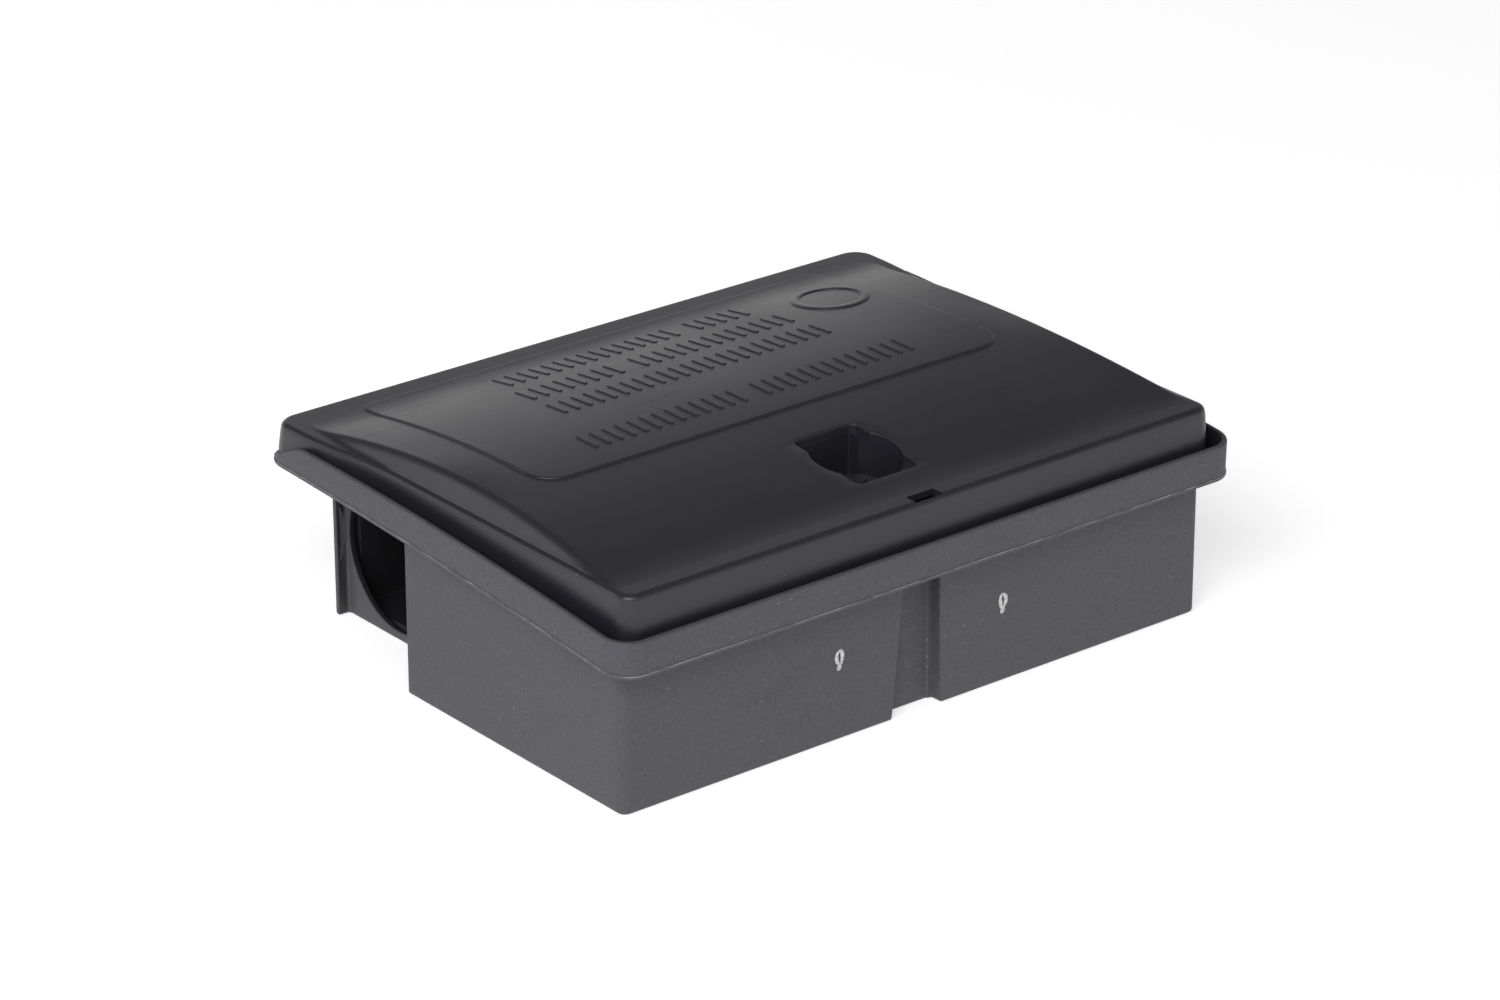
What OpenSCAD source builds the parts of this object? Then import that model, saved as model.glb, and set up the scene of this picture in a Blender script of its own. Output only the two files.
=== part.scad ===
// Rodent bait station: a moulded tray with two side entrances at the rear, a hinged
// lid with a key lock, a loose baffle, and two lift-out trays with bait on steel rods.
// Origin: centre of the underside. +X to the right, +Y to the hinge, +Z up. Millimetres.

/* [Rim] */
// Length over the rim, along X
rim_len = 240; // [236:1:244]
// Depth over the rim, front to hinge
rim_dep = 178.4; // [178:0.1:178.6]
// Corner radius of the rim in plan
rim_r = 9; // [8:0.5:10]
// Thickness of the rim's outer wall
rim_t = 2; // [1.6:0.1:2.2]
// Height of the rim's arched top edge at its highest
rim_top_z = 67.7; // [67.4:0.1:67.8]
// Height of the rim's top edge at the hinge side
rim_rear_z = 60.2; // [59.8:0.1:60.2]

/* [Tray body] */
// Length of the body below the rim
body_len = 225.4; // [224.6:0.2:225.6]
// Distance of the body's front face from the middle
body_front = 80.2; // [80:0.1:80.4]
// Distance of the body's rear face from the middle
body_rear = 86.6; // [86:0.1:87]
// Vertical corner radius
body_r = 3; // [3:0.5:6]
// Wall thickness
wall_t = 2.2; // [1.8:0.1:2.4]
// Floor thickness
floor_t = 2.2; // [2:0.1:2.6]
// Radius of the round entrance holes
hole_r = 24.9; // [20:0.1:24.9]
// Height of the centre of the entrance holes
hole_z = 28; // [28:0.5:29]
// Distance of the centre of the entrance holes behind the middle
hole_y = 58.5; // [55:0.5:58.5]
// Distance of the entrance walls from the middle
alcove_x = 93.1; // [92:0.1:94]
// Where the entrance alcoves begin, behind the middle
alcove_y = 26.2; // [26.2:0.1:27]
// Radius of the two floor fixing holes
fix_r = 2.75; // [2:0.25:3]
// Distance between the floor fixing holes
fix_span = 150; // [120:1:160]

/* [Lid] */
// Height of the lid's flat flange
lid_z = 70.3; // [70:0.1:70.6]
// Wall thickness of the lid's skirts
lid_t = 2; // [1.8:0.1:2]
// Thickness of the lid's top
top_t = 2.2; // [2:0.1:2.4]
// Half length of the lid inside the gutter
lid_x = 113.4; // [113:0.1:113.6]
// Half length of the lid at the hinge side
lid_rear_x = 117; // [115:0.5:117]
// Distance of the lid's front face from the middle
lid_y = 84.1; // [83.8:0.1:84.2]
// Rise of the crown above the flange
crown_h = 6.1; // [5.5:0.1:6.5]
// Half depth of the crown's foot
crown_y = 72; // [70:1:74]
// Half length of the crown's foot
crown_x = 111; // [109:0.5:111]
// How far the crown's ends slope in
crown_slope = 4.1; // [3:0.1:6]
// How far the raised panel stands out
panel_rise = 0.5; // [0.3:0.1:0.8]

/* [Hinge] */
// Height of the hinge axis
hinge_z = 63.4; // [63.4:0.1:63.5]
// Radius of the hinge knuckles
knuckle_r = 2.8; // [2.6:0.1:2.8]
// Radius of the hinge pins
pin_r = 1.5; // [1.25:0.05:1.5]
// Distance of each hinge from the middle
hinge_x = 66.5; // [50:0.5:72]

/* [Lock] */
// Distance of the lock in front of the middle
lock_y = 48.8; // [48.6:0.1:49]
// Radius of the round key well
well_r = 14.3; // [13.5:0.1:14.5]
// Length of the key recess along X
recess_len = 24.2; // [22:0.2:25]
// Depth of the key recess along Y
recess_dep = 31; // [29:0.5:31]
// Reach of the locking arm from its axis
cam_reach = 32.4; // [32:0.1:32.4]

/* [Bait] */
// Length of one bait tray
tray_len = 98; // [90:1:98]
// Depth of one bait tray, front to back
tray_dep = 58; // [50:1:58]
// Distance of each tray's centre from the middle
tray_x = 55; // [55:0.5:56]
// Radius of the steel bait rods
rod_r = 2; // [1.5:0.25:2]
// Height of the bait rods
rod_z = 32; // [30:0.5:33]
// Length of one bait block along the rod
block_len = 27; // [20:1:27]
// Height and depth of one bait block
block_size = 26; // [20:1:27]

/* [Hidden] */
$fn = 96;
eps = 0.01;

// Colours
base_grey = "#4a4a4d";
lid_black = "#2b2b2e";
tray_grey = "#5c5f63";
steel = "#b9bcc0";
wax_blue = "#2f6f8f";

// The rim's top and bottom edges are shallow arcs seen from the side
arch_fn = 1440;
rim_top_r = 1700;
rim_top_y = 85;
rim_low_r = 2700;
rim_low_y = 170;
rim_low_z = 59.5;
drop_y0 = 69.5;
drop_y1 = 86.6;
ledge_t = 2.2;
hinge_y = rim_dep / 2 - knuckle_r;

// The upstand stands just inside the lid's skirts
stand_gap = 0.7;
stand_x = lid_x - lid_t - stand_gap;
stand_y0 = -lid_y + lid_t + stand_gap;
stand_y1 = 77.5;
stand_t = 2;
stand_z = 66.3;
stand_r = 4;
skirt_gap = 1.2;
rim_gap = 1;
big = 150;

function rim_top_at(y) = rim_top_z - rim_top_r + sqrt(pow(rim_top_r, 2) - pow(y - rim_top_y, 2));
function on_circle(a) = [cos(a), sin(a)];
function arc_points(c, r, a0, a1, n) = [for (i = [0:n]) c + r * on_circle(a0 + (a1 - a0) * i / n)];
function mirrored(points) = [for (i = [len(points) - 1:-1:0]) [-points[i][0], points[i][1]]];

// ---- shared shapes ----

module rounded_rect(len, dep, r) {
    square([len - 2 * r, dep], center = true);
    square([len, dep - 2 * r], center = true);
    for (sx = [-1, 1], sy = [-1, 1])
        translate([sx * (len / 2 - r), sy * (dep / 2 - r)]) circle(r = r);
}

module slab(len, dep, r, z0, z1) {
    translate([0, 0, z0]) linear_extrude(z1 - z0) rounded_rect(len, dep, r);
}

// A box given by its lowest and highest corners
module span(low, high) {
    translate(low) cube(high - low);
}

// A Y-Z outline swept along X
module along_x(len) {
    rotate([90, 0, 90]) linear_extrude(len, center = true) children();
}

// Everything below the rim's bottom arc raised by dz
module under_ledge(dz) {
    along_x(2 * big) intersection() {
        translate([rim_low_y, rim_low_z + dz - rim_low_r]) circle(r = rim_low_r, $fn = 2 * arch_fn);
        translate([-big, -10]) square([2 * big, 120]);
    }
}

// Everything below the rim's top edge raised by dz
module under_rim_top(dz) {
    along_x(2 * big) intersection() {
        translate([rim_top_y, rim_top_z + dz - rim_top_r]) circle(r = rim_top_r, $fn = arch_fn);
        polygon([[-big, -10], [-big, 100], [drop_y0, 100], [drop_y0, rim_top_at(drop_y0) + dz],
                 [drop_y1, rim_rear_z + dz], [big, rim_rear_z + dz], [big, -10]]);
    }
}

// Children on both sides, mirrored left to right
module both_sides() {
    children();
    mirror([1, 0, 0]) children();
}

// ---- base tray ----

// A post stands out at the rear of each entrance wall
post_x = 97;
post_y0 = body_rear - 2;
body_dep = body_front + body_rear;
body_mid = (body_rear - body_front) / 2;

// Plan of the body with its two entrance alcoves
module body_plan() {
    difference() {
        translate([0, body_mid]) rounded_rect(body_len, body_dep, body_r);
        for (s = [-1, 1]) {
            translate([s * (post_x + big / 2), alcove_y + big / 2]) square(big, center = true);
            translate([s * (alcove_x + 5), (alcove_y + post_y0) / 2])
                square([10, post_y0 - alcove_y], center = true);
        }
    }
}

// Plan of the space inside the walls
module inner_plan() {
    difference() {
        translate([0, body_mid]) rounded_rect(body_len - 2 * wall_t, body_dep - 2 * wall_t, body_r - wall_t);
        for (s = [-1, 1])
            translate([s * (alcove_x - wall_t + big / 2), alcove_y - wall_t + big / 2])
                square(big, center = true);
    }
}

// Plan of the upstand; t moves it inwards
module stand_plan(t) {
    translate([0, (stand_y0 + stand_y1) / 2])
        rounded_rect(2 * (stand_x - t), stand_y1 - stand_y0 - 2 * t, stand_r - t);
}

// Front notch: its left side leans; t thickens it into the wall behind the notch
notch_d = 5;
notch_left = [-11.3, -6.7];
notch_right = [7.8, 6.7];
notch_z = 49;

module notch(t) {
    top = notch_z + 2 * t;
    translate([0, -body_front + notch_d + t, 0]) rotate([90, 0, 0]) linear_extrude(notch_d + 2 * t + 1)
        polygon([[notch_left[0] - t, -1], [notch_right[0] + t, -1],
                 [notch_right[1] + t, top], [notch_left[1] - t, top]]);
}

rib_y0 = 19.2;
rib_y1 = 21.4;
keeper_z0 = 52.5;
keeper_z1 = 57.2;
tray_stop_y = -10;

module hinge_lugs() {
    for (x = [hinge_x - 7, hinge_x + 7]) translate([x, 0, 0]) {
        along_x(5) {
            translate([hinge_y, hinge_z]) circle(r = knuckle_r);
            translate([hinge_y - knuckle_r, 58.5]) square([2 * knuckle_r, hinge_z - 58.5]);
        }
    }
}

module base_tray() {
    color(base_grey) difference() {
        union() {
            // walls and floor
            intersection() {
                linear_extrude(62) body_plan();
                under_ledge(ledge_t);
            }
            // ledge and rim
            difference() {
                intersection() {
                    slab(rim_len, rim_dep, rim_r, 40, 70);
                    under_rim_top(0);
                }
                under_ledge(0);
            }
            // upstand inside the lid's skirts
            difference() {
                translate([0, 0, 50]) linear_extrude(stand_z - 50) stand_plan(0);
                under_ledge(0);
            }
            both_sides() hinge_lugs();
        }
        // gutter
        difference() {
            slab(rim_len - 2 * rim_t, rim_dep - 2 * rim_t, rim_r - rim_t, 45, 80);
            under_ledge(ledge_t);
            translate([0, 0, 40]) linear_extrude(50) stand_plan(0);
            both_sides() hinge_lugs();
        }
        // space above the ledge, inside the upstand
        difference() {
            translate([0, 0, 45]) linear_extrude(50) stand_plan(stand_t);
            under_ledge(ledge_t);
        }
        // inside of the tray
        difference() {
            intersection() {
                translate([0, 0, floor_t]) linear_extrude(70) inner_plan();
                under_ledge(0);
            }
            notch(wall_t);
            both_sides() {
                span([106, rib_y0, 0], [body_len / 2, rib_y1, 56]);
                span([10, tray_stop_y, 0], [100, tray_stop_y + 2, floor_t + 3]);
            }
        }
        // opening through the ledge
        difference() {
            translate([0, 0, 40]) linear_extrude(50) intersection() {
                stand_plan(stand_t);
                inner_plan();
                translate([-106, -big]) square([212, 2 * big]);
            }
            notch(wall_t);
        }
        // front notch
        intersection() {
            notch(0);
            under_ledge(-eps);
        }
        // entrances
        for (s = [-1, 1])
            translate([s * (alcove_x - wall_t / 2), hole_y, hole_z])
                rotate([0, 90, 0]) cylinder(r = hole_r, h = 3 * wall_t, center = true);
        // keeper window for the locking arm
        span([-15, stand_y0 - 1, keeper_z0], [15, stand_y0 + stand_t + 1, keeper_z1]);
        // hinge pin holes
        both_sides() translate([hinge_x, hinge_y, hinge_z]) rotate([0, 90, 0])
            cylinder(r = pin_r + 0.01, h = 30, center = true);
        // floor fixing holes
        for (s = [-1, 1]) translate([s * fix_span / 2, 2, -1]) cylinder(r = fix_r, h = 10);
    }
}

// ---- loose pieces inside ----

baffle_y = 21.6;
baffle_t = 2;
baffle_x = body_len / 2 - wall_t - 0.5;
baffle_z = 54.5;
door_x = 56;
door_w = 44;
door_z = 46;

module inner_baffle() {
    color(tray_grey) {
        difference() {
            span([-baffle_x, baffle_y, floor_t], [baffle_x, baffle_y + baffle_t, baffle_z]);
            for (s = [-1, 1]) translate([s * door_x, 30, 0]) rotate([90, 0, 0]) linear_extrude(20) {
                translate([-door_w / 2, 0]) square([door_w, door_z - 8]);
                translate([-door_w / 2 + 8, 0]) square([door_w - 16, door_z]);
                for (t = [-1, 1]) translate([t * (door_w / 2 - 8), door_z - 8]) circle(r = 8);
            }
        }
        span([-100, baffle_y - 5, baffle_z - 2], [100, baffle_y, baffle_z]);
    }
}

tray_y = -41;
tray_t = 1.6;
tray_h = 16;
tray_end_h = 34;

module bait_tray(side) {
    z0 = floor_t;
    color(tray_grey) translate([side * tray_x, tray_y, 0]) difference() {
        union() {
            slab(tray_len, tray_dep, 5, z0, z0 + tray_h);
            for (s = [-1, 1])
                translate([s * (tray_len / 2 - tray_t / 2), 0, z0 + tray_end_h / 2])
                    cube([tray_t, 20, tray_end_h], center = true);
        }
        slab(tray_len - 2 * tray_t, tray_dep - 2 * tray_t, 5 - tray_t, z0 + tray_t, z0 + 60);
        // slots that hold the rod
        translate([0, 0, rod_z]) {
            rotate([0, 90, 0]) cylinder(r = rod_r + 0.05, h = tray_len + 10, center = true);
            span([-tray_len, -rod_r - 0.05, 0], [tray_len, rod_r + 0.05, 20]);
        }
    }
}

rod_bend = 5;
rod_over = 3;
rod_handle = 8;

module bait_rod(side) {
    run = tray_len / 2 + rod_over;
    start = -run + 2 * rod_over;
    color(steel) translate([side * tray_x, tray_y, rod_z]) mirror([side > 0 ? 0 : 1, 0, 0]) {
        translate([start, 0, 0]) rotate([0, 90, 0]) cylinder(r = rod_r, h = run - start);
        translate([start, 0, rod_bend]) rotate([-90, 0, 180])
            rotate_extrude(angle = 90) translate([rod_bend, 0]) circle(r = rod_r, $fn = 48);
        translate([start - rod_bend, 0, rod_bend]) cylinder(r = rod_r, h = rod_handle);
    }
}

// Wax block with grooved sides and a hole along X
module bait_block(side, place) {
    h = block_size / 2;
    g = 1.5;
    step = block_size / 5;
    // place: -1 inner, 0 middle, 1 outer
    x = side * (tray_x + place * (block_len + 2));
    color(wax_blue) translate([x, tray_y, rod_z - 0.95]) difference() {
        along_x(block_len) difference() {
            square(2 * h, center = true);
            for (s = [-1, 1], k = [-1.5, -0.5, 0.5, 1.5]) {
                translate([s * h, k * step]) rotate(45) square(g, center = true);
                translate([k * step, s * h]) rotate(45) square(g, center = true);
            }
        }
        rotate([0, 90, 0]) cylinder(r = rod_r + 1, h = block_len + 2, center = true);
    }
}

module hinge_pin(side) {
    color(steel) translate([side * hinge_x, hinge_y, hinge_z]) rotate([0, 90, 0])
        cylinder(r = pin_r, h = 19, center = true);
}

// ---- lid ----

flare_y0 = 30;
flare_y1 = 78;
front_r = 5.5;
rear_r = 8;
crown_r = (pow(crown_y, 2) + pow(crown_h, 2)) / (2 * crown_h);

// Plan of the lid, which widens to the hinge side; t moves it inwards
function lid_side(t) = let (
    out = (lid_rear_x - lid_x) / 2,
    run = (flare_y1 - flare_y0) / 2,
    r = (pow(out, 2) + pow(run, 2)) / (2 * out),
    a = asin(run / r)
) concat(
    arc_points([lid_x - front_r, -lid_y + front_r], front_r - t, -90, 0, 12),
    arc_points([lid_x + r, flare_y0], r + t, 180, 180 - a, 8),
    arc_points([lid_rear_x - r, flare_y1], r - t, -a, 0, 8),
    arc_points([lid_rear_x - rear_r, rim_dep / 2 - rear_r], rear_r - t, 0, 90, 12)
);

module lid_plan(t) {
    polygon(concat(lid_side(t), mirrored(lid_side(t))));
}

// Everything below the crown's arc lowered by d
module under_crown(d) {
    along_x(2 * big) intersection() {
        translate([0, lid_z + crown_h - crown_r]) circle(r = crown_r - d, $fn = arch_fn);
        translate([-big, 0]) square([2 * big, 120]);
    }
}

// The crown above height z0; d thins it from all sides
module crown(z0, d) {
    z1 = lid_z + crown_h + 1;
    foot = crown_x - d;
    top = foot - (z1 - lid_z) * crown_slope / crown_h;
    intersection() {
        under_crown(d);
        rotate([90, 0, 0]) linear_extrude(2 * big, center = true)
            polygon([[-foot, z0], [foot, z0], [foot, lid_z - d],
                     [top, z1 - d], [-top, z1 - d], [-foot, lid_z - d]]);
        span([-big, -crown_y - 5, z0], [big, crown_y + 5, 100]);
    }
}

panel_x = 90.4;
panel_y0 = -15;
panel_y1 = 79.5;
panel_r = 10;
panel_rear_r = 4;
cup_z = 57;
cup_t = 2;
pocket_x = 9.8;
pocket_y = 14.8;
recess_depth = 2.5;
slot_len = 10.6;
slot_dep = 4.6;
slot_y = -80.3;

module lid_top() {
    linear_extrude(lid_z) lid_plan(0);
    crown(lid_z - 1, 0);
    intersection() {
        translate([0, (panel_y0 + panel_y1) / 2, 0]) union() {
            slab(2 * panel_x, panel_y1 - panel_y0, panel_r, lid_z, 80);
            translate([0, panel_r, 0])
                slab(2 * panel_x, panel_y1 - panel_y0 - 2 * panel_r, panel_rear_r, lid_z, 80);
        }
        union() {
            under_crown(-panel_rise);
            span([-big, -big, 60], [big, big, lid_z + panel_rise]);
        }
    }
}

// Plan of the key well: a circle with a square pocket to the rear; t makes it larger
module well_plan(t) {
    circle(r = well_r + t);
    translate([-pocket_x - t, 0]) square([2 * (pocket_x + t), pocket_y + t]);
}

module knuckle() {
    translate([hinge_x, 0, 0]) along_x(8.4) {
        translate([hinge_y, hinge_z]) circle(r = knuckle_r);
        translate([hinge_y - 1.8, hinge_z]) square([3.6, lid_z - top_t - hinge_z + 0.5]);
    }
}

module lid_shell() {
    color(lid_black) difference() {
        union() {
            difference() {
                lid_top();
                // hollow under the lid, with a pad left below the key recess
                difference() {
                    union() {
                        linear_extrude(lid_z - top_t) lid_plan(lid_t);
                        crown(lid_z - top_t - 1, top_t);
                    }
                    span([-well_r - cup_t, -lock_y - recess_dep / 2 - 2, lid_z - 2.5],
                         [well_r + cup_t, -lock_y + recess_dep / 2 + 2, 90]);
                }
                // skirts end above the gutter floor
                under_ledge(ledge_t + skirt_gap);
                // the rear skirt ends above the rim
                intersection() {
                    under_rim_top(rim_gap);
                    difference() {
                        span([-big, -big, 30], [big, big, 90]);
                        slab(rim_len - 2 * rim_t - 1.2, rim_dep - 2 * rim_t - 1.2, rim_r - rim_t, 20, 95);
                    }
                }
                // rear lower edge rounded about the hinge axis
                difference() {
                    span([-big, hinge_y, 40], [big, hinge_y + 10, hinge_z]);
                    translate([0, hinge_y, hinge_z]) rotate([0, 90, 0])
                        cylinder(r = knuckle_r, h = 3 * big, center = true);
                }
                both_sides() span([hinge_x - 10.2, 80, 40], [hinge_x + 10.2, 90, lid_z - top_t]);
            }
            translate([0, -lock_y, cup_z]) linear_extrude(lid_z - cup_z) well_plan(cup_t);
            both_sides() knuckle();
        }
        // key recess and well
        intersection() {
            translate([0, -lock_y, 0]) slab(recess_len, recess_dep, 2.5, lid_z - 5, 90);
            difference() {
                span([-40, -80, lid_z - 5], [40, 0, 90]);
                under_crown(recess_depth);
            }
        }
        translate([0, -lock_y, cup_z + cup_t]) linear_extrude(40) well_plan(0);
        translate([0, -lock_y, cup_z - 1]) cylinder(r = 5, h = 10);
        // mould slot over the keeper
        span([-slot_len / 2, slot_y - slot_dep / 2, lid_z - top_t - 1],
             [slot_len / 2, slot_y + slot_dep / 2, lid_z + 1]);
        // pin holes
        both_sides() translate([hinge_x, hinge_y, hinge_z]) rotate([0, 90, 0])
            cylinder(r = pin_r + 0.06, h = 30, center = true);
    }
}

// ---- lock ----

washer_t = 0.6;
head_h = 3;
hub_r = 4.94;
drive = 6;
cam_t = 2.8;
cam_top = cup_z - 0.2;
cam_low = cam_top - cam_t;
head_z = cup_z + cup_t + washer_t;

module lock_barrel() {
    color(tray_grey) translate([0, -lock_y, 0]) difference() {
        union() {
            translate([0, 0, head_z]) cylinder(r = 9, h = head_h);
            translate([0, 0, cam_top]) cylinder(r = hub_r, h = head_z - cam_top);
            span([-drive / 2, -drive / 2, cam_low], [drive / 2, drive / 2, cam_top]);
        }
        // key slot: two round sockets joined by a groove
        for (s = [-1, 1]) translate([s * 5.5, 0, head_z + 1]) cylinder(r = 1.8, h = head_h);
        span([-5.5, -1, head_z + 1], [5.5, 1, head_z + head_h + 1]);
        translate([0, 0, cam_low - 1]) cylinder(r = 1.3, h = 6.5);
    }
}

module lock_washer() {
    color(steel) translate([0, -lock_y, cup_z + cup_t]) difference() {
        cylinder(r = 8, h = washer_t);
        translate([0, 0, -1]) cylinder(r = 5.3, h = 3);
    }
}

// The arm points to +X when unlocked
module lock_cam() {
    color(steel) translate([0, -lock_y, cam_low]) difference() {
        linear_extrude(cam_t) {
            circle(r = 7);
            translate([0, -5]) square([cam_reach - 2, 10]);
            translate([cam_reach - 5, 0]) circle(r = 5);
        }
        translate([0, 0, cam_t / 2]) cube([drive + 0.1, drive + 0.1, cam_t + 2], center = true);
    }
}

module cam_screw() {
    color(steel) translate([0, -lock_y, 0]) difference() {
        union() {
            translate([0, 0, cam_low - 2]) cylinder(r = 4.8, h = 2);
            translate([0, 0, cam_low - 0.5]) cylinder(r = 1.25, h = 5.5);
        }
        for (a = [0, 90]) rotate(a) translate([0, 0, cam_low - 2]) cube([4, 0.9, 2], center = true);
    }
}

base_tray();
inner_baffle();
bait_tray(-1);  // bait_tray_left
bait_tray(1);  // bait_tray_right
bait_rod(-1);  // bait_rod_left
bait_rod(1);  // bait_rod_right
bait_block(-1, -1);  // bait_block_left_inner
bait_block(-1, 0);  // bait_block_left_middle
bait_block(-1, 1);  // bait_block_left_outer
bait_block(1, -1);  // bait_block_right_inner
bait_block(1, 0);  // bait_block_right_middle
bait_block(1, 1);  // bait_block_right_outer
hinge_pin(-1);  // hinge_pin_left
hinge_pin(1);  // hinge_pin_right
lid_shell();
lock_barrel();
lock_washer();
lock_cam();
cam_screw();
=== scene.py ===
# Bait station: the moulded base and lid are built here as smooth closed meshes over the CAD frame,
# and the loose pieces inside keep their CAD shapes. Outlines are in millimetres and scaled to metres.
import math

import bmesh
import bpy
from mathutils import Matrix, Vector


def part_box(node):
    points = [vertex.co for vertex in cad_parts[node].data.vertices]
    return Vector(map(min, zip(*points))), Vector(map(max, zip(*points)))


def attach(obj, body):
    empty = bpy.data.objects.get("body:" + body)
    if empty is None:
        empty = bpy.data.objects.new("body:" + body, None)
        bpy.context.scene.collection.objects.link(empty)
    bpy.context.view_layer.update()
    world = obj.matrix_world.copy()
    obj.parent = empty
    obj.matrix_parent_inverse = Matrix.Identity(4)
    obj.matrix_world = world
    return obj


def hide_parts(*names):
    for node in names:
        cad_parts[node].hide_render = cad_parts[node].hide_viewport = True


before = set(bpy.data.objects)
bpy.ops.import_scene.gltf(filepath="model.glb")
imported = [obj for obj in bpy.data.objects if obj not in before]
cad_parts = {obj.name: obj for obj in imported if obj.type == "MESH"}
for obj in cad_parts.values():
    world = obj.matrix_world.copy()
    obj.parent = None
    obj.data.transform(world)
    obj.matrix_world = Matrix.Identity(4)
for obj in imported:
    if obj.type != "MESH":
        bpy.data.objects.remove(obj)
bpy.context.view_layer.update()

MM = 0.001

# ---- camera: the view's angles, its aim point in the object and its distance ----

VIEW_AZ = -38.91
VIEW_EL = 23.58
VIEW_ROLL = -0.04
VIEW_AIM = Vector((-0.0277, -0.0330, 0.0603))
VIEW_DIST = 1.58839
VIEW_LENS = 127.85


def make_camera():
    az, el, roll = math.radians(VIEW_AZ), math.radians(VIEW_EL), math.radians(VIEW_ROLL)
    back = Vector((math.sin(az) * math.cos(el), -math.cos(az) * math.cos(el), math.sin(el)))
    right = Vector((math.cos(az), math.sin(az), 0))
    up = back.cross(right)
    turned_right = right * math.cos(roll) + up * math.sin(roll)
    turned_up = up * math.cos(roll) - right * math.sin(roll)
    data = bpy.data.cameras.new("camera")
    data.lens = VIEW_LENS
    data.sensor_width = 36
    data.clip_end = 50
    camera = bpy.data.objects.new("camera", data)
    rotation = Matrix((turned_right, turned_up, back)).transposed().to_4x4()
    camera.matrix_world = Matrix.Translation(VIEW_AIM + back * VIEW_DIST) @ rotation
    bpy.context.collection.objects.link(camera)
    bpy.context.scene.camera = camera


make_camera()

# ---- driving sizes in millimetres, the same as the CAD's ----

base_high = [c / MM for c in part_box("base_tray")[1]]
RIM_X, RIM_Y = base_high[0], base_high[1]
RIM_R, RIM_T = 9, 2
BODY_X, BODY_Y0, BODY_Y1, BODY_R = 112.7, -80.2, 86.6, 3
NOTCH_D = 5
WALL_T, FLOOR_T = 2.2, 2.2
ALCOVE_X, ALCOVE_Y = 93.1, 26.2
POST_X, POST_Y = 97, 84.6
HOLE_Y, HOLE_Z, HOLE_R = 58.5, 28, 24.9
LEDGE_T = 2.2
STAND_X, STAND_Y0, STAND_Y1, STAND_T, STAND_Z, STAND_R = 110.7, -81.4, 77.5, 2, 66.3, 4
LID_X, LID_REAR_X, LID_Y, LID_Z, LID_T, TOP_T = 113.4, 117, 84.1, 70.3, 2, 2.2
CROWN_X, CROWN_Y, CROWN_H, CROWN_SLOPE = 111, 72, 6.1, 4.1
PANEL_X, PANEL_Y0, PANEL_Y1, PANEL_R, PANEL_REAR_R, PANEL_RISE = 90.4, -15, 79.5, 10, 4, 0.5
HINGE_X, HINGE_Z, KNUCKLE_R = 66.5, 63.4, 2.8
HINGE_Y = RIM_Y - KNUCKLE_R
LOCK_Y, WELL_R, CUP_Z, CUP_T = -48.8, 14.3, 57, 2
POCKET_X, POCKET_Y = 9.8, 14.8
HUB_R = 5
RECESS_X, RECESS_Y, RECESS_DEPTH = 12.1, 15.5, 2.5
SLOT_X, SLOT_Y, SLOT_MID = 5.3, 2.3, -80.3
REAR_Z = 60.2
# arcs of the rim's underside and top edge: highest point along Y, its height and the radius
LEDGE_ARC = (170, 59.5, 2700)
RIM_ARC = (85, 67.7, 1700)
# how far the lid's crown blends into its sloping ends and into the flange
CROWN_BLEND, FLANGE_BLEND = 2.2, 0.9
FIXING_X, FIXING_Y, FIXING_R = 75, 2, 2.75
LUG_GAP, LUG_W, LUG_FOOT, KNUCKLE_W = 14, 5, 58.6, 8.4
BAFFLE_Y0, BAFFLE_Y1, BAFFLE_TOP = 19.2, 21.4, 55.5
KEEPER_X, KEEPER_Z0, KEEPER_Z1 = 15, 52.5, 57.2

# ---- heights ----


def arc_height(y, apex_y, apex_z, radius):
    return apex_z - radius + math.sqrt(radius ** 2 - (y - apex_y) ** 2)


def smooth_min(a, b, k):
    h = max(k - abs(a - b), 0) / k
    return min(a, b) - h * h * k / 4


def smooth_max(a, b, k):
    return -smooth_min(-a, -b, k)


def ledge_low(y):
    """Underside of the rim."""
    return arc_height(y, *LEDGE_ARC)


def rim_top(y):
    """Top edge of the rim: an arch that drops to the hinge side."""
    arch = arc_height(y, *RIM_ARC)
    drop_start, drop_z, drop_run = 69.5, 67.6, 17.1
    drop = drop_z + (REAR_Z - drop_z) * (y - drop_start) / drop_run
    return arch if y < 50 else smooth_max(smooth_min(arch, drop, 1.2), REAR_Z, 0.8)


def crown_arc(y):
    radius = (CROWN_Y ** 2 + CROWN_H ** 2) / (2 * CROWN_H)
    return LID_Z + CROWN_H - radius + math.sqrt(radius ** 2 - y ** 2)


def lid_height(x, y):
    """Top surface of the lid: flat flange, arched crown and sloping crown ends."""
    end = LID_Z + (CROWN_X - abs(x)) * CROWN_H / CROWN_SLOPE
    return smooth_max(LID_Z, smooth_min(crown_arc(y), end, CROWN_BLEND), FLANGE_BLEND)


def skirt_low(x, y):
    """Lower edge of the lid's skirts: above the gutter, and rounded about the hinge axis at the rear."""
    gutter_gap, rear_gap = 1.2, 1
    edge = min(ledge_low(y) + LEDGE_T + gutter_gap, REAR_Z + rear_gap)
    if y > HINGE_Y:
        edge = max(edge, HINGE_Z - math.sqrt(max(KNUCKLE_R ** 2 - (y - HINGE_Y) ** 2, 0)))
    return edge


# ---- outlines and lofts ----

R_MIN = 0.05


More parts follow.
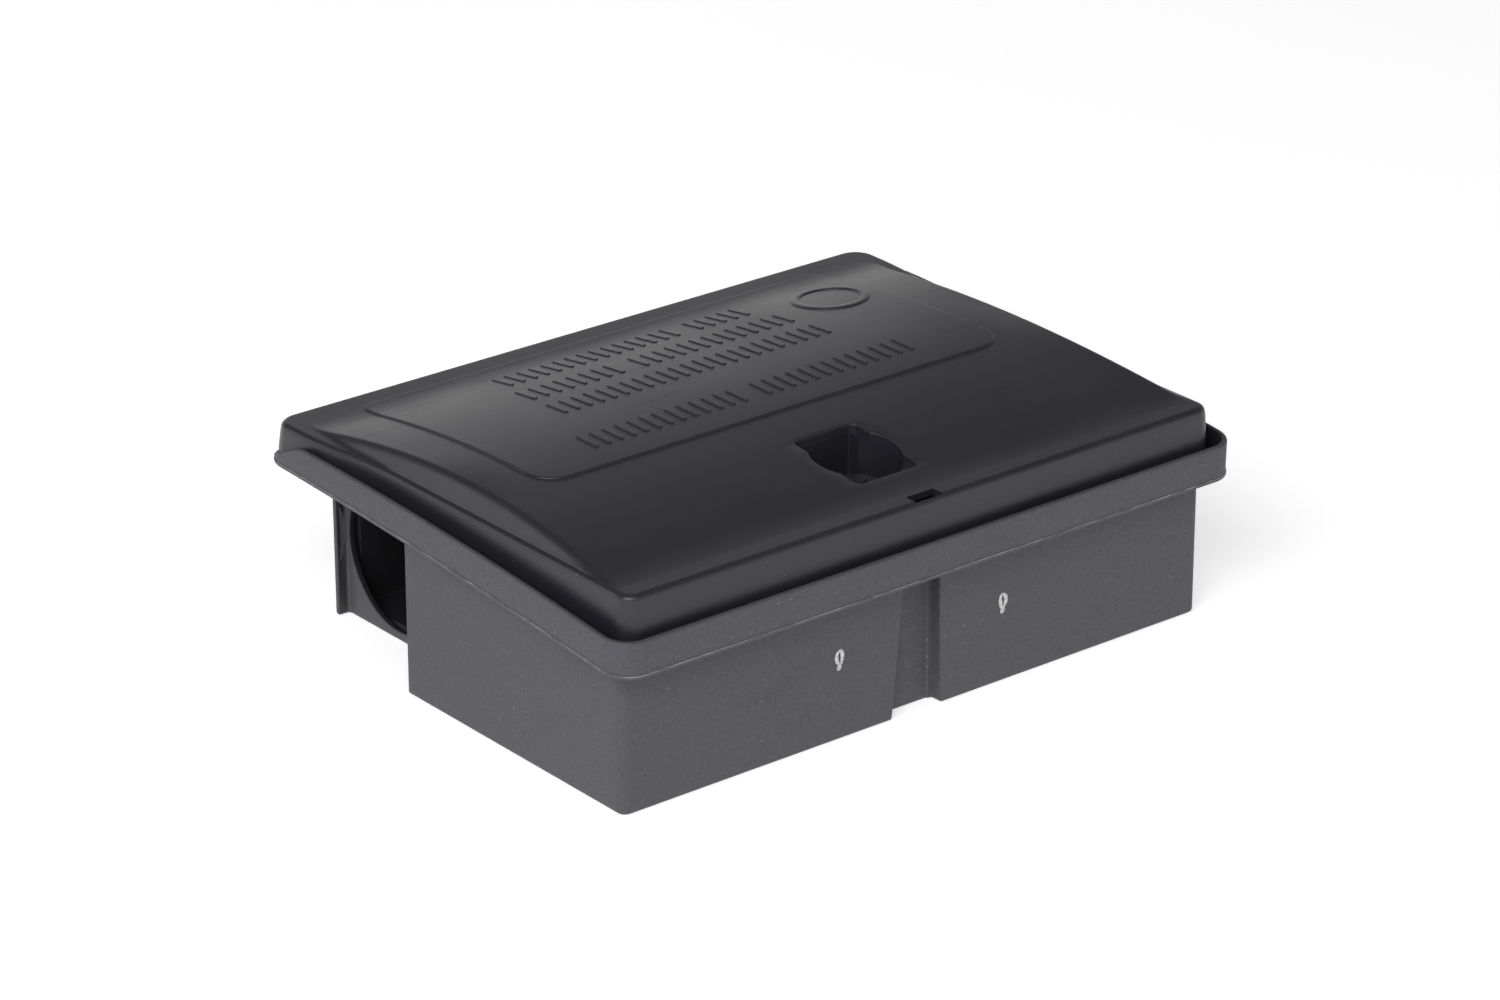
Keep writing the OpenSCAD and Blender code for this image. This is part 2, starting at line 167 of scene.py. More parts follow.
def corner_points(before, here, after, inset, arc):
    """The arc at the corner here (x, y, radius), with the sides moved inwards by inset."""
    start_dir = (Vector(here[:2]) - Vector(before[:2])).normalized()
    end_dir = (Vector(after[:2]) - Vector(here[:2])).normalized()
    in0 = Vector((-start_dir.y, start_dir.x))
    in1 = Vector((-end_dir.y, end_dir.x))
    angle = math.atan2(start_dir.x * end_dir.y - start_dir.y * end_dir.x, start_dir.dot(end_dir))
    middle = Vector(here[:2]) + (in0 + in1) * inset / (1 + in0.dot(in1))
    if abs(angle) < 1e-6:
        return [middle.copy() for _ in range(arc + 1)]
    side = 1 if angle > 0 else -1
    radius = max(here[2] - side * inset, R_MIN)
    start = middle - start_dir * radius * math.tan(abs(angle) / 2)
    centre = start + in0 * radius * side
    return [centre + Matrix.Rotation(angle * i / arc, 2) @ (start - centre) for i in range(arc + 1)]


def corner_arcs(corners, inset, arc):
    """The arc of points at each corner, in the corners' order."""
    before, after = corners[-1:] + corners[:-1], corners[1:] + corners[:1]
    return [corner_points(a, b, c, inset, arc) for a, b, c in zip(before, corners, after)]


def run_counts(corners, step, arc):
    """How many points each straight run between two corners gets."""
    arcs = corner_arcs(corners, 0, arc)
    gaps = [(b[0] - a[-1]).length for a, b in zip(arcs, arcs[1:] + arcs[:1])]
    return [max(0, round(gap / step) - 1) for gap in gaps]


def outline(corners, counts, inset=0, arc=8):
    """Points anticlockwise round the corners (x, y, radius), moved inwards by inset."""
    arcs = corner_arcs(corners, inset, arc)
    points = []
    for part, following, count in zip(arcs, arcs[1:] + arcs[:1], counts):
        points += part
        points += [part[-1].lerp(following[0], (k + 1) / (count + 1)) for k in range(count)]
    return points


def mirror_corners(right):
    return right + [(-x, y, r) for x, y, r in reversed(right)]


def ring(points, height):
    """height is a number or a function of x and y."""
    return [Vector((p.x, p.y, height(p.x, p.y) if callable(height) else height)) for p in points]


def loft_faces(count, size, closed=False):
    faces = []
    for i in range(count if closed else count - 1):
        a, b = i * size, (i + 1) % count * size
        faces += [(a + k, a + (k + 1) % size, b + (k + 1) % size, b + k) for k in range(size)]
    return faces


def strip_cap(first, counts, arc, half, flip):
    """Fills a left-right symmetric ring with strips across it.

    first is the ring's first point, and half is the number of corners on the right side."""
    side = half * (arc + 1) + sum(counts[:half - 1])
    rear = counts[half - 1]
    left = side + rear
    faces = []
    for j in range(side - 1):
        face = [j, j + 1]
        if j == side - 2:
            face += range(side, side + rear)
        face += [left + side - 2 - j, left + side - 1 - j]
        if j == 0:
            face += range(left + side, left + side + counts[-1])
        faces.append([first + k for k in (reversed(face) if flip else face)])
    return faces


def new_object(name, points, faces, sharp=35):
    """A clean closed mesh from points in millimetres."""
    mesh = bpy.data.meshes.new(name)
    mesh.from_pydata([p * MM for p in points], [], faces)
    tidy_mesh(mesh, sharp)
    obj = bpy.data.objects.new(name, mesh)
    bpy.context.collection.objects.link(obj)
    return obj


def loft(name, rings, sharp=35, closed=False):
    """A closed solid through rings of equal size, capped at both ends or closed on itself."""
    size = len(rings[0])
    faces = loft_faces(len(rings), size, closed)
    if not closed:
        last = (len(rings) - 1) * size
        faces += [tuple(reversed(range(size))), tuple(range(last, last + size))]
    return new_object(name, [p for r in rings for p in r], faces, sharp)


def tidy_mesh(mesh, sharp):
    work = bmesh.new()
    work.from_mesh(mesh)
    bmesh.ops.remove_doubles(work, verts=work.verts, dist=1e-6)
    bmesh.ops.dissolve_degenerate(work, edges=work.edges, dist=1e-7)
    bmesh.ops.recalc_face_normals(work, faces=work.faces)
    for face in work.faces:
        face.material_index = 0
    work.to_mesh(mesh)
    work.free()
    mesh.shade_smooth()
    mesh.set_sharp_from_angle(angle=math.radians(sharp))


def combine(obj, tools, operation, sharp=35):
    """Cuts the tools out of obj, or joins them to it, and deletes them."""
    for tool in tools:
        step = obj.modifiers.new("combine", "BOOLEAN")
        step.object = tool
        step.operation = operation
        step.solver = "EXACT"
    graph = bpy.context.evaluated_depsgraph_get()
    mesh = bpy.data.meshes.new_from_object(obj.evaluated_get(graph))
    obj.modifiers.clear()
    obj.data = mesh
    tidy_mesh(mesh, sharp)
    for tool in tools:
        bpy.data.objects.remove(tool)


def join_all(name, parts):
    """Puts separate closed solids into one object."""
    work = bmesh.new()
    for part in parts:
        work.from_mesh(part.data)
        bpy.data.objects.remove(part)
    mesh = bpy.data.meshes.new(name)
    work.to_mesh(mesh)
    work.free()
    obj = bpy.data.objects.new(name, mesh)
    bpy.context.collection.objects.link(obj)
    tidy_mesh(mesh, 60)
    return obj


def block(name, low, high):
    """A box given by two corners, used to cut or join."""
    plan = ((low[0], low[1]), (high[0], low[1]), (high[0], high[1]), (low[0], high[1]))
    return loft(name, [[Vector((x, y, z)) for x, y in plan] for z in (low[2], high[2])])


def turned(name, profile, axis="Z", centre=(0, 0, 0), sides=96):
    """A solid of revolution from (radius, height) pairs, capped at both ends."""
    rings = []
    for radius, height in profile:
        circle = []
        for k in range(sides):
            a = 2 * math.pi * k / sides
            local = Vector((radius * math.cos(a), radius * math.sin(a), height))
            if axis == "X":
                local = Vector((local.z, local.x, local.y))
            circle.append(local + Vector(centre))
        rings.append(circle)
    return loft(name, rings)


def cross_cut(obj, places):
    """Divides long faces at the given places along X, so that later cuts disturb only faces near them."""
    work = bmesh.new()
    work.from_mesh(obj.data)
    for x in places:
        geometry = work.verts[:] + work.edges[:] + work.faces[:]
        bmesh.ops.bisect_plane(work, geom=geometry, dist=1e-7, plane_co=(x * MM, 0, 0), plane_no=(1, 0, 0))
    work.to_mesh(obj.data)
    work.free()


def column(name, corners, low, high, lip=0.6, arc=8):
    """A cutter with a lip that flares out just below the surface height high(x, y)."""
    counts = run_counts(corners, 2, arc)
    path = lambda out: outline(corners, counts, -out, arc)
    rings = [ring(path(0), low), ring(path(0), lambda x, y: high(x, y) - lip)]
    for a in (20, 40, 60, 75):
        out = lip * (1 - math.cos(math.radians(a)))
        drop = lip * (1 - math.sin(math.radians(a)))
        rings.append(ring(path(out), lambda x, y: high(x, y) - drop))
    for rise in (0.1, 6):
        rings.append(ring(path(out + 0.5), lambda x, y: high(x, y) + rise))
    return loft(name, rings)


# ---- materials ----


class Nodes:
    """Short calls for building one material's node tree."""

    def __init__(self, name):
        self.material = bpy.data.materials.new(name)
        self.material.use_nodes = True
        self.tree = self.material.node_tree
        self.shader = self.tree.nodes["Principled BSDF"]
        coordinates = self.tree.nodes.new("ShaderNodeTexCoord")
        self.place = coordinates.outputs["Object"]
        self.normal = coordinates.outputs["Normal"]

    def link(self, a, b):
        self.tree.links.new(a, b)

    def noise(self, scale, detail=3, rough=0.5, place=None):
        node = self.tree.nodes.new("ShaderNodeTexNoise")
        node.inputs["Scale"].default_value = scale
        node.inputs["Detail"].default_value = detail
        node.inputs["Roughness"].default_value = rough
        self.link(place or self.place, node.inputs["Vector"])
        return node.outputs["Fac"]

    def cells(self, scale):
        node = self.tree.nodes.new("ShaderNodeTexVoronoi")
        node.inputs["Scale"].default_value = scale
        self.link(self.place, node.inputs["Vector"])
        return node.outputs["Distance"]

    def stretched(self, factors, turn=0):
        node = self.tree.nodes.new("ShaderNodeMapping")
        node.inputs["Scale"].default_value = factors
        node.inputs["Rotation"].default_value = (0, 0, turn)
        self.link(self.place, node.inputs["Vector"])
        return node.outputs["Vector"]

    def span(self, value, low, high, out_low, out_high):
        node = self.tree.nodes.new("ShaderNodeMapRange")
        for key, number in (("From Min", low), ("From Max", high), ("To Min", out_low), ("To Max", out_high)):
            node.inputs[key].default_value = number
        self.link(value, node.inputs["Value"])
        return node.outputs["Result"]

    def calc(self, operation, a, b):
        node = self.tree.nodes.new("ShaderNodeMath")
        node.operation = operation
        for socket, value in zip(node.inputs, (a, b)):
            if isinstance(value, (int, float)):
                socket.default_value = value
            else:
                self.link(value, socket)
        return node.outputs[0]

    def mix(self, amount, a, b):
        node = self.tree.nodes.new("ShaderNodeMix")
        node.data_type = "RGBA"
        self.link(amount, node.inputs[0])
        for socket, colour in ((node.inputs[6], a), (node.inputs[7], b)):
            if isinstance(colour, tuple):
                socket.default_value = (*colour, 1)
            else:
                self.link(colour, socket)
        return node.outputs[2]

    def bump(self, height, strength, distance, before=None):
        node = self.tree.nodes.new("ShaderNodeBump")
        node.inputs["Strength"].default_value = strength
        node.inputs["Distance"].default_value = distance
        self.link(height, node.inputs["Height"])
        if before:
            self.link(before, node.inputs["Normal"])
        return node.outputs["Normal"]

    def inward_faces(self, centre):
        """1 on faces turned towards the centre (the mould's core side), 0 on the outside; the mask for
        painted shade on those faces.
        """
        away = self.tree.nodes.new("ShaderNodeVectorMath")
        away.operation = "SUBTRACT"
        self.link(self.place, away.inputs[0])
        away.inputs[1].default_value = centre
        dot = self.tree.nodes.new("ShaderNodeVectorMath")
        dot.operation = "DOT_PRODUCT"
        self.link(away.outputs["Vector"], dot.inputs[0])
        self.link(self.normal, dot.inputs[1])
        return self.span(dot.outputs["Value"], -0.003, -0.006, 0, 1)

    def finish(self, colour=None, rough=None, normal=None):
        for key, value in (("Base Color", colour), ("Roughness", rough), ("Normal", normal)):
            if value is not None:
                self.link(value, self.shader.inputs[key])
        return self.material


def moulded_plastic(name, dark, light, rough_low, rough_high, grain,
                    specks=0.0, mottle=0.1, polished_core_painted_shade=False):
    """Injection-moulded plastic: spark-eroded grain, faint flow patches, a few handling marks and dust;
    optionally painted shade and a smoother finish on the faces turned inwards.
    """
    n = Nodes(name)
    patches = n.noise(22, 3, 0.55)
    colour = n.mix(n.span(patches, 0.3, 0.7, 0, 1), dark, light)
    fine = n.noise(2600, 2, 0.6)
    soft = n.noise(700, 2, 0.5)
    colour = n.mix(n.span(fine, 0.35, 0.75, 0, 0.35), colour, tuple(1.5 * c for c in light))
    colour = n.mix(n.span(n.noise(950, 2, 0.7), 0.35, 0.7, 0, mottle), colour, tuple(2.2 * c for c in light))
    if specks:
        dots = n.span(n.cells(330), 0.0, 0.13, specks, 0)
        dusty = n.span(n.noise(38, 2), 0.5, 0.68, 0, 1)
        colour = n.mix(n.calc("MULTIPLY", dots, dusty), colour, (0.32, 0.32, 0.33))
    patchy = n.span(patches, 0.25, 0.75, rough_low, rough_high)
    rough = n.calc("ADD", patchy, n.span(fine, 0.3, 0.7, -0.04, 0.04))
    scratches = n.noise(90, 2, 0.6, n.stretched((0.25, 6, 1), 0.5))
    rough = n.calc("ADD", rough, n.span(scratches, 0.62, 0.72, 0, 0.06))
    normal = n.bump(soft, 0.25 * grain, 0.00015)
    normal = n.bump(fine, grain, 0.00008, normal)
    # faces turned inwards get painted shade (colour set to 0.4 of the dark tone) and a smoother finish
    if polished_core_painted_shade:
        inner = n.inward_faces((0, 0, 0.03))
        colour = n.mix(inner, colour, tuple(0.4 * c for c in dark))
        rough = n.calc("SUBTRACT", rough, n.calc("MULTIPLY", inner, 0.15))
    return n.finish(colour, rough, normal)


def plated_steel(name, dark, light):
    n = Nodes(name)
    cloud = n.noise(120, 4, 0.6)
    colour = n.mix(n.span(cloud, 0.3, 0.7, 0, 1), dark, light)
    lines = n.noise(400, 2, 0.5, n.stretched((0.15, 5, 5)))
    rough = n.calc("ADD", n.span(cloud, 0.3, 0.7, 0.28, 0.42), n.span(lines, 0.4, 0.7, 0, 0.08))
    n.shader.inputs["Metallic"].default_value = 1
    return n.finish(colour, rough, n.bump(lines, 0.15, 0.00005))


def bait_wax(name):
    """Coloured wax with pressed grain in it."""
    n = Nodes(name)
    cloud = n.noise(60, 4, 0.6)
    colour = n.mix(n.span(cloud, 0.3, 0.7, 0, 1), (0.012, 0.10, 0.17), (0.03, 0.20, 0.28))
    grains = n.span(n.cells(260), 0.12, 0.32, 1, 0)
    chosen = n.calc("MULTIPLY", grains, n.span(n.noise(150, 2), 0.5, 0.56, 0, 0.7))
    colour = n.mix(chosen, colour, (0.25, 0.30, 0.22))
    normal = n.bump(chosen, 0.5, 0.0004, n.bump(cloud, 0.4, 0.0006))
    n.shader.inputs["Subsurface Weight"].default_value = 0.08
    n.shader.inputs["Subsurface Scale"].default_value = 0.002
    return n.finish(colour, n.span(cloud, 0.3, 0.7, 0.38, 0.55), normal)


def stress_mark(name, scale, dark, light):
    """Light, patchy plastic: whitened where a moulding gate was cut off, and a painted highlight along the
    trimmed flash line.
    """
    n = Nodes(name)
    patch = n.noise(scale, 3, 0.7)
    colour = n.mix(n.span(patch, 0.35, 0.65, 0, 1), dark, light)
    return n.finish(colour, n.span(patch, 0.3, 0.7, 0.45, 0.7), n.bump(patch, 0.6, 0.0001))


def floor_white(name):
    n = Nodes(name)
    n.shader.inputs["Roughness"].default_value = 0.9
    n.shader.inputs["Base Color"].default_value = (0.9, 0.9, 0.9, 1)
    n.shader.inputs["Emission Color"].default_value = (1, 1, 1, 1)
    n.shader.inputs["Emission Strength"].default_value = 0.55
    return n.material


BASE = moulded_plastic("base_plastic", (0.046, 0.0443, 0.0525), (0.056, 0.0538, 0.0635), 0.56, 0.68, 0.6,
                       specks=0.8, mottle=0.3, polished_core_painted_shade=True)
LID = moulded_plastic("lid_plastic", (0.0165, 0.0155, 0.0215), (0.021, 0.0198, 0.0268), 0.32, 0.40, 0.16,
                      specks=0.3)
TRAY = moulded_plastic("tray_plastic", (0.055, 0.055, 0.058), (0.07, 0.07, 0.074), 0.42, 0.52, 0.3)
LOCK = moulded_plastic("lock_plastic", (0.018, 0.018, 0.02), (0.028, 0.028, 0.03), 0.35, 0.45, 0.25)
STEEL = plated_steel("zinc_steel", (0.42, 0.42, 0.43), (0.60, 0.60, 0.59))
# near-black steel, used as painted shade on the washer at the bottom of the key well
WASHER_SHADE_STEEL = plated_steel("washer_steel_painted_shade", (0.04, 0.04, 0.042), (0.08, 0.08, 0.082))
WAX = bait_wax("bait_wax")
MARK = stress_mark("gate_mark", 1500, (0.3, 0.3, 0.3), (0.75, 0.75, 0.75))
# the flash line's light colour is a painted highlight along the rim's lower edge
FLASH_HIGHLIGHT = stress_mark("flash_line_painted_highlight", 160, (0.10, 0.10, 0.105), (0.30, 0.30, 0.30))


def piece(obj, material, body, slot, *nodes):
    """Gives a piece its material and body, and hides the CAD nodes it stands for; slot is not used."""
    obj.data.materials.clear()
    obj.data.materials.append(material)
    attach(obj, body)
    if nodes:
        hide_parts(*nodes)


# ---- base: body walls ----


def notch_sides(z):
    """The front notch's left and right edges; the left one leans."""
    up = z / 48
    return -11.2 + 4.5 * up, 7.8 - 1.1 * up


def body_corners(z):
    left, right = notch_sides(z)
    side = [
        (BODY_X, BODY_Y0, BODY_R), (BODY_X, ALCOVE_Y, 1.2), (ALCOVE_X, ALCOVE_Y, 1),
        (ALCOVE_X, POST_Y, 1.2), (POST_X, POST_Y, 0.7), (POST_X, BODY_Y1, 0.9),
    ]
    deep = BODY_Y0 + NOTCH_D
    notch = [
        (left, BODY_Y0, 0.7), (left, deep, 0.8), (right - 1.6, deep, 0.4),
        (right - 1.2, deep - 0.6, 0.4), (right - 0.2, deep - 0.6, 0.3), (right, BODY_Y0, 0.8),
    ]
    return mirror_corners(side) + notch


def cavity_corners(z):
    """Inside of the walls, with one corner for each corner of body_corners."""
    left, right = notch_sides(z)
    x, front, rear = BODY_X - WALL_T, BODY_Y0 + WALL_T, BODY_Y1 - WALL_T
    step_x, step_y = ALCOVE_X - WALL_T, ALCOVE_Y - WALL_T
    side = [
        (x, front, 1), (x, step_y, 0.6), (step_x, step_y, 0.6),
        (step_x, rear - 3, 0), (step_x, rear - 2, 0), (step_x, rear, 0.6),
    ]
    bulge = front + NOTCH_D
    notch = [
        (left - WALL_T, front, 0.4), (left - WALL_T, bulge, 0.6), (right - 1.6, bulge, 0),
        (right - 1.2, bulge, 0), (right + WALL_T, bulge, 0.6), (right + WALL_T, front, 0.4),
    ]
    return mirror_corners(side) + notch


def make_body():
    arc = 6
    counts = run_counts(body_corners(0), 4, arc)
    wall_top = lambda x, y: ledge_low(y) + 1
    rings = []
    foot = 1.2
    for a in range(0, 91, 15):
        lift, inset = foot * (1 - math.cos(math.radians(a))), foot * (1 - math.sin(math.radians(a)))
        rings.append(ring(outline(body_corners(0), counts, inset, arc), lift))
    for z in (12, 24, 36, 44):
        rings.append(ring(outline(body_corners(z), counts, 0, arc), z))
    top_z = 47
    rings.append(ring(outline(body_corners(top_z), counts, 0, arc), wall_top))
    rings.append(ring(outline(cavity_corners(top_z), counts, 0, arc), wall_top))
    for z in (44, 24, 5):
        rings.append(ring(outline(cavity_corners(z), counts, 0, arc), z))
    # a small fillet between the walls and the floor
    for z, inset, height in ((3, 0.3, FLOOR_T + 0.6), (0, 0.9, FLOOR_T)):
        rings.append(ring(outline(cavity_corners(z), counts, inset, arc), height))
    body = loft("base_body", rings)
    lip, half = 0.5, WALL_T / 2
    profile = [(HOLE_R + 3, -4), (HOLE_R + 0.9, -half - 0.15)]
    for a in (70, 45, 20, 0):
        turn = math.radians(a)
        profile.append((HOLE_R + lip * (1 - math.cos(turn)), lip * (1 - math.sin(turn)) - half))
    profile += [(r, -h) for r, h in reversed(profile)]
    cutters = []
    for s in (-1, 1):
        hole = (s * (ALCOVE_X - half), HOLE_Y, HOLE_Z)
        cutters.append(turned("entrance_cutter", profile, "X", hole, 128))
        fixing = [(FIXING_R, -2), (FIXING_R, FLOOR_T + 1.8)]
        cutters.append(turned("fixing_cutter", fixing, "Z", (s * FIXING_X, FIXING_Y, 0), 48))
    combine(body, cutters, "DIFFERENCE")
    return body


# ---- base: rim, gutter and upstand ----


def rim_corners(x, y0, y1, radius):
    return mirror_corners([(x, y0, radius), (x, y1, radius)])


def make_rim():
    arc = 10
    counts = run_counts(rim_corners(RIM_X, -RIM_Y, RIM_Y, RIM_R), 1.6, arc)
    rings = []

    def add(inset, height, stand=False):
        if stand:
            corners = rim_corners(STAND_X - inset, STAND_Y0 + inset, STAND_Y1 - inset, STAND_R)
        else:
            corners = rim_corners(RIM_X - inset, -RIM_Y + inset, RIM_Y - inset, max(RIM_R - inset, 1))
        rings.append(ring(outline(corners, counts, 0, arc), height))

    low = lambda rise: lambda x, y: ledge_low(y) + rise
    top = lambda drop: lambda x, y: rim_top(y) - drop
    edge = 0.7
    add(STAND_T, low(0), True)
    add(edge + 0.2, low(0))
    for a in (0, 22.5, 45, 67.5, 90):
        add(edge * (1 - math.sin(math.radians(a))), low(edge * (1 - math.cos(math.radians(a)))))
    add(0, low(0.95))
    add(0.3, low(1.2))
    lip = RIM_T / 2
    for a in range(0, 181, 20):
        turn = math.radians(a)
        add(lip - (lip - 0.1) * math.cos(turn), top(0.6 * (1 - math.sin(turn))))
    # the gutter's fillet stays below the lid's knuckles at the rear
    clear_of_lid = lambda y: REAR_Z + 0.2 + 0.1 * max(HINGE_Y - y, 0)
    add(RIM_T + 0.2, lambda x, y: min(ledge_low(y) + LEDGE_T + 0.5, clear_of_lid(y)))
    add(RIM_T + 0.8, low(LEDGE_T))
    add(-0.5, low(LEDGE_T), True)
    add(0, low(LEDGE_T + 0.5), True)
    add(0, STAND_Z - 0.4, True)
    add(0.4, STAND_Z, True)
    add(STAND_T - 0.4, STAND_Z, True)
    add(STAND_T, STAND_Z - 0.4, True)
    rim = loft("base_rim", rings, closed=True)
    window_low = (-KEEPER_X, STAND_Y0 - 1, KEEPER_Z0)
    window_high = (KEEPER_X, STAND_Y0 + STAND_T + 1, KEEPER_Z1)
    combine(rim, [block("keeper_cutter", window_low, window_high)], "DIFFERENCE")
    return rim


def make_flash_line():
    """The fine line of trimmed flash where the mould closed, just above the rim's lower edge, coloured light
    as a painted highlight along that edge.
    """
    arc, across, radius = 10, 8, 0.17
    corners = rim_corners(RIM_X, -RIM_Y, RIM_Y, RIM_R)
    counts = run_counts(corners, 1.6, arc)
    rings = []
    for k in range(across):
        a = 2 * math.pi * k / across
        rise = 1.12 + radius * math.sin(a)
        edge = outline(corners, counts, radius * (1 - math.cos(a)), arc)
        rings.append(ring(edge, lambda x, y: ledge_low(y) + rise))
    line = loft("flash_line_painted_highlight", rings, 80, True)
    piece(line, FLASH_HIGHLIGHT, "station", "base_plastic")


def make_shelf(s):
    """Roof of one entrance alcove, following the rim's underside."""
    x0, x1 = sorted((s * (ALCOVE_X - 1.3), s * 112))
    y0, y1, steps = ALCOVE_Y - 1.3, 86, 10
    rings = []
    for k in range(steps + 1):
        y = y0 + (y1 - y0) * k / steps
        low, high = ledge_low(y) + 0.01, ledge_low(y) + LEDGE_T - 0.01
        rings.append([Vector((x, y, z)) for x, z in ((x0, low), (x0, high), (x1, high), (x1, low))])
    return loft("shelf", rings)


def swept_bar(name, profile, x0, x1, bevel=0.3):
    """A Y-Z profile swept along X, with its end edges chamfered."""
    centre = sum((Vector(p) for p in profile), Vector((0, 0))) / len(profile)
    rings = []
    for x, shrink in ((x0, bevel), (x0 + bevel, 0), (x1 - bevel, 0), (x1, bevel)):
        shrunk = []
        for p in profile:
            away = Vector(p) - centre
            shrunk.append(centre + away * (1 - shrink / max(away.length, bevel)))
        rings.append([Vector((x, p.x, p.y)) for p in shrunk])
    return loft(name, rings)


def hinge_arc(first, last, step):
    """Points round the hinge axis in the Y-Z plane, between two angles in degrees."""
    turns = [math.radians(a) for a in range(first, last, step)]
    return [(HINGE_Y + KNUCKLE_R * math.cos(t), HINGE_Z + KNUCKLE_R * math.sin(t)) for t in turns]


def lug_profile():
    return [(HINGE_Y - KNUCKLE_R, LUG_FOOT), (HINGE_Y + KNUCKLE_R, LUG_FOOT)] + hinge_arc(0, 181, 15)


def knuckle_profile():
    web, web_half = LID_Z - TOP_T + 0.4, 1.8
    return hinge_arc(130, 411, 14) + [(HINGE_Y + web_half, web), (HINGE_Y - web_half, web)]


def make_base():
    body, rim = make_body(), make_rim()
    extras = [make_shelf(s) for s in (-1, 1)]
    for s in (-1, 1):
        for x in (s * HINGE_X - LUG_GAP / 2, s * HINGE_X + LUG_GAP / 2):
            extras.append(swept_bar("lug", lug_profile(), x - LUG_W / 2, x + LUG_W / 2))
        x0, x1 = sorted((s * 106, s * (BODY_X - 1)))
        extras.append(block("baffle_rib", (x0, BAFFLE_Y0, 1), (x1, BAFFLE_Y1, BAFFLE_TOP)))
        x0, x1 = sorted((s * 10, s * 100))
        extras.append(block("tray_stop", (x0, -10, 1), (x1, -8, FLOOR_T + 3)))
    combine(body, [rim] + extras, "UNION")
    piece(body, BASE, "station", "base_plastic", "base_tray")
    body.name = "base_moulding"


def make_gate_mark(s):
    """A cut-off moulding gate on the front wall: a small upright oval ring with a tail below it."""
    x0, z0, y0 = s * 32, 27, BODY_Y0
    half_w, half_h, thick = 1.1, 2.2, 0.55
    around, across = 48, 10

    def bead(centres):
        rings = []
        for centre, along, width in centres:
            across_it = Vector((-along.y, along.x))
            circle = []
            for j in range(across):
                b = 2 * math.pi * j / across
                place = centre + across_it * width * math.cos(b)
                circle.append(Vector((place.x, y0 - 0.5 * width * math.sin(b), place.y)))
            rings.append(circle)
        return rings

    loop = []
    for k in range(around):
        a = 2 * math.pi * k / around
        wobble = 1 + 0.08 * math.sin(3 * a + s)
        centre = Vector((x0 + half_w * wobble * math.cos(a), z0 + half_h * wobble * math.sin(a)))
        along = Vector((-half_w * math.sin(a), half_h * math.cos(a))).normalized()
        loop.append((centre, along, thick * (1 + 0.25 * math.sin(2 * a + 1))))
    oval = loft("gate_oval", bead(loop), closed=True)
    tail_count = 9
    tail = []
    for k in range(tail_count):
        f = k / (tail_count - 1)
        centre = Vector((x0 - 0.35 * f, z0 - half_h - 1.9 * f))
        width = thick * (0.7 + 0.9 * math.sin(math.pi * min(1, 0.15 + 0.8 * f)))
        tail.append((centre, Vector((0.1, -1)).normalized(), width))
    mark = join_all("gate_mark_left" if s < 0 else "gate_mark_right", [oval, loft("gate_tail", bead(tail))])
    piece(mark, MARK, "station", "base_plastic")


# ---- lid ----

LID_RIGHT = [(LID_X, -LID_Y, 5.5), (LID_X, 42, 160), (LID_REAR_X, 66, 160), (LID_REAR_X, RIM_Y, 8)]
LID_ARC = 10


def make_lid_shell():
    corners = mirror_corners(LID_RIGHT)
    counts = run_counts(corners, 3, LID_ARC)
    # the front and rear runs are straight and level
    counts[-1] = counts[len(LID_RIGHT) - 1] = 0
    path = lambda inset: outline(corners, counts, inset, LID_ARC)
    under = lambda x, y: lid_height(x, y) - TOP_T
    draft, fillet, flare = 0.4, 1.9, 0.6
    deepest = 7.9
    # rings go from the middle of the underside outwards, round the skirt, and back over the top
    rings = [ring(path(t), under) for t in (deepest, 6.8, 5.6, 4.5)]
    rings.append(ring(path(LID_T + 1.2), LID_Z - TOP_T))
    rings.append(ring(path(LID_T + 0.3), LID_Z - TOP_T - 0.5))
    rings.append(ring(path(LID_T), lambda x, y: skirt_low(x, y) + 0.3))
    rings.append(ring(path(LID_T - 0.3), skirt_low))
    flared = lambda inset: [Vector((p.x, min(p.y, RIM_Y - 0.05))) for p in path(inset)]
    rings.append(ring(flared(0.3 - flare), skirt_low))
    rings.append(ring(flared(-flare), lambda x, y: skirt_low(x, y) + 0.3))
    rings.append(ring(path(draft - 0.2), LID_Z - fillet - 0.8))
    for a in range(0, 91, 15):
        inset = draft + fillet * (1 - math.cos(math.radians(a)))
        rings.append(ring(path(inset), LID_Z - fillet + fillet * math.sin(math.radians(a))))
    ring_gap = 0.35
    t = draft + fillet + 0.2
    while t < deepest - 0.2:
        rings.append(ring(path(t), lid_height))
        t += ring_gap
    rings.append(ring(path(deepest), lid_height))
    size = len(rings[0])
    faces = loft_faces(len(rings), size)
    faces += strip_cap(0, counts, LID_ARC, len(LID_RIGHT), True)
    faces += strip_cap((len(rings) - 1) * size, counts, LID_ARC, len(LID_RIGHT), False)
    return new_object("lid_moulding", [p for r in rings for p in r], faces, 32)


def circle_corners(x, y, radius):
    """A circle as four fully rounded corners."""
    signs = ((1, -1), (1, 1), (-1, 1), (-1, -1))
    return [(x + i * radius, y + j * radius, radius) for i, j in signs]


